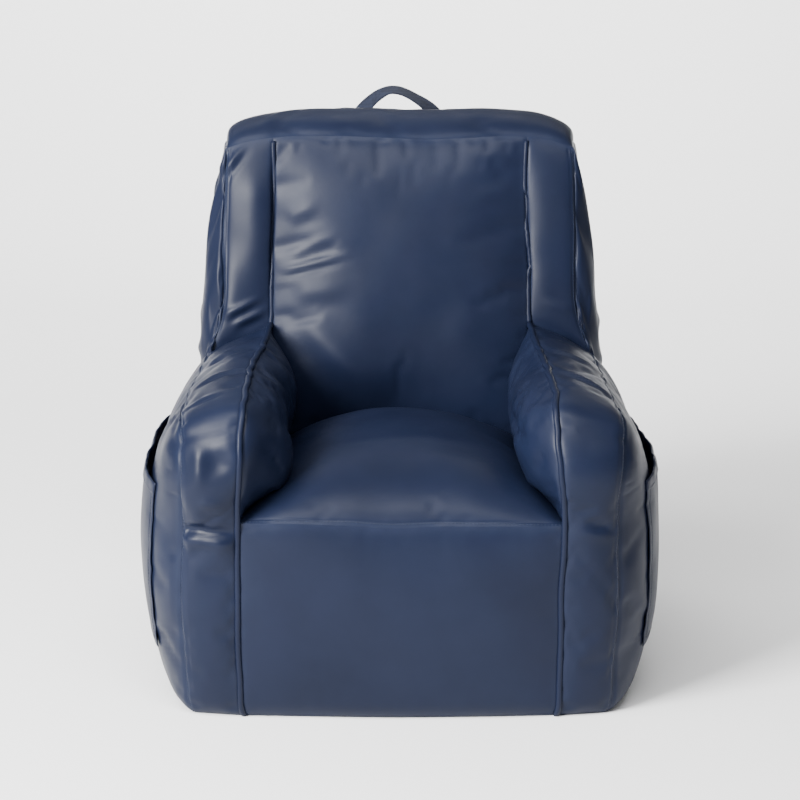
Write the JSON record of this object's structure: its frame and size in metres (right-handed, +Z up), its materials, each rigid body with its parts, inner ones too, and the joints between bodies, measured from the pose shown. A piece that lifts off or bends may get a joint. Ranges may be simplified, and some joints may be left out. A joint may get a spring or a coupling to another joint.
{
  "type": "bean bag chair",
  "caption": "Armchair-shaped bean bag chair: sewn faux-leather panels over bead-filled chambers, with side pockets, a webbing carry handle and a rear zip.",
  "frame": {"origin": "middle of the chair's footprint, on the floor: the centre of the bottom of its bounding box", "axes": "+Z up, -Y the front that the sitter faces, +X to the right seen from the front"},
  "size_m": [0.7004, 0.7202, 0.793],
  "materials": {
    "cover": "smooth faux leather, semi-gloss, fine grain",
    "base_fabric": "matt non-woven",
    "lining": "matt lining cloth",
    "bead_fill": "expanded polystyrene beads",
    "webbing": "woven webbing",
    "zip_tape": "woven zip tape",
    "zip_teeth": "moulded nylon",
    "zip_metal": "dark coated zinc",
    "label": "blank woven satin"
  },
  "bodies": {
    "root": {"base_panel": "base_fabric", "front_skirt_panel": "cover", "seat_panel": "cover", "backrest_panel": "cover", "top_panel": "cover", "rear_panel": "cover", "left_arm_band": "cover", "right_arm_band": "cover", "left_inner_arm_panel": "cover", "right_inner_arm_panel": "cover", "left_back_wing": "cover", "right_back_wing": "cover", "left_outer_side_panel": "cover", "right_outer_side_panel": "cover", "left_pocket": "cover", "right_pocket": "cover", "left_pocket_hem": "cover", "right_pocket_hem": "cover", "left_seam_cord": "cover", "right_seam_cord": "cover", "seat_bead_fill": "bead_fill", "back_bead_fill": "bead_fill", "left_arm_bead_fill": "bead_fill", "right_arm_bead_fill": "bead_fill", "left_arm_baffle": "lining", "right_arm_baffle": "lining", "back_baffle": "lining", "handle_left_tail": "webbing", "handle_right_tail": "webbing", "zip_upper_tape": "zip_tape", "zip_lower_tape": "zip_tape", "zip_upper_coil": "zip_teeth", "zip_lower_coil": "zip_teeth", "zip_stops": "zip_metal", "zip_guard_flap": "lining", "care_label": "label"},
    "handle": {"handle_loop": "webbing"},
    "slider": {"zip_slider": "zip_metal"}
  },
  "joints": [
    {"name": "handle_swing", "type": "hinge", "parent": "root", "child": "handle", "pos_m": [0, 0.2965, 0.739], "axis": [1, 0, 0], "range_deg": [-140, 35]},
    {"name": "zip_slide", "type": "slide", "parent": "root", "child": "slider", "axis": [-1, 0, 0], "range_m": [0, 0.285]}
  ]
}
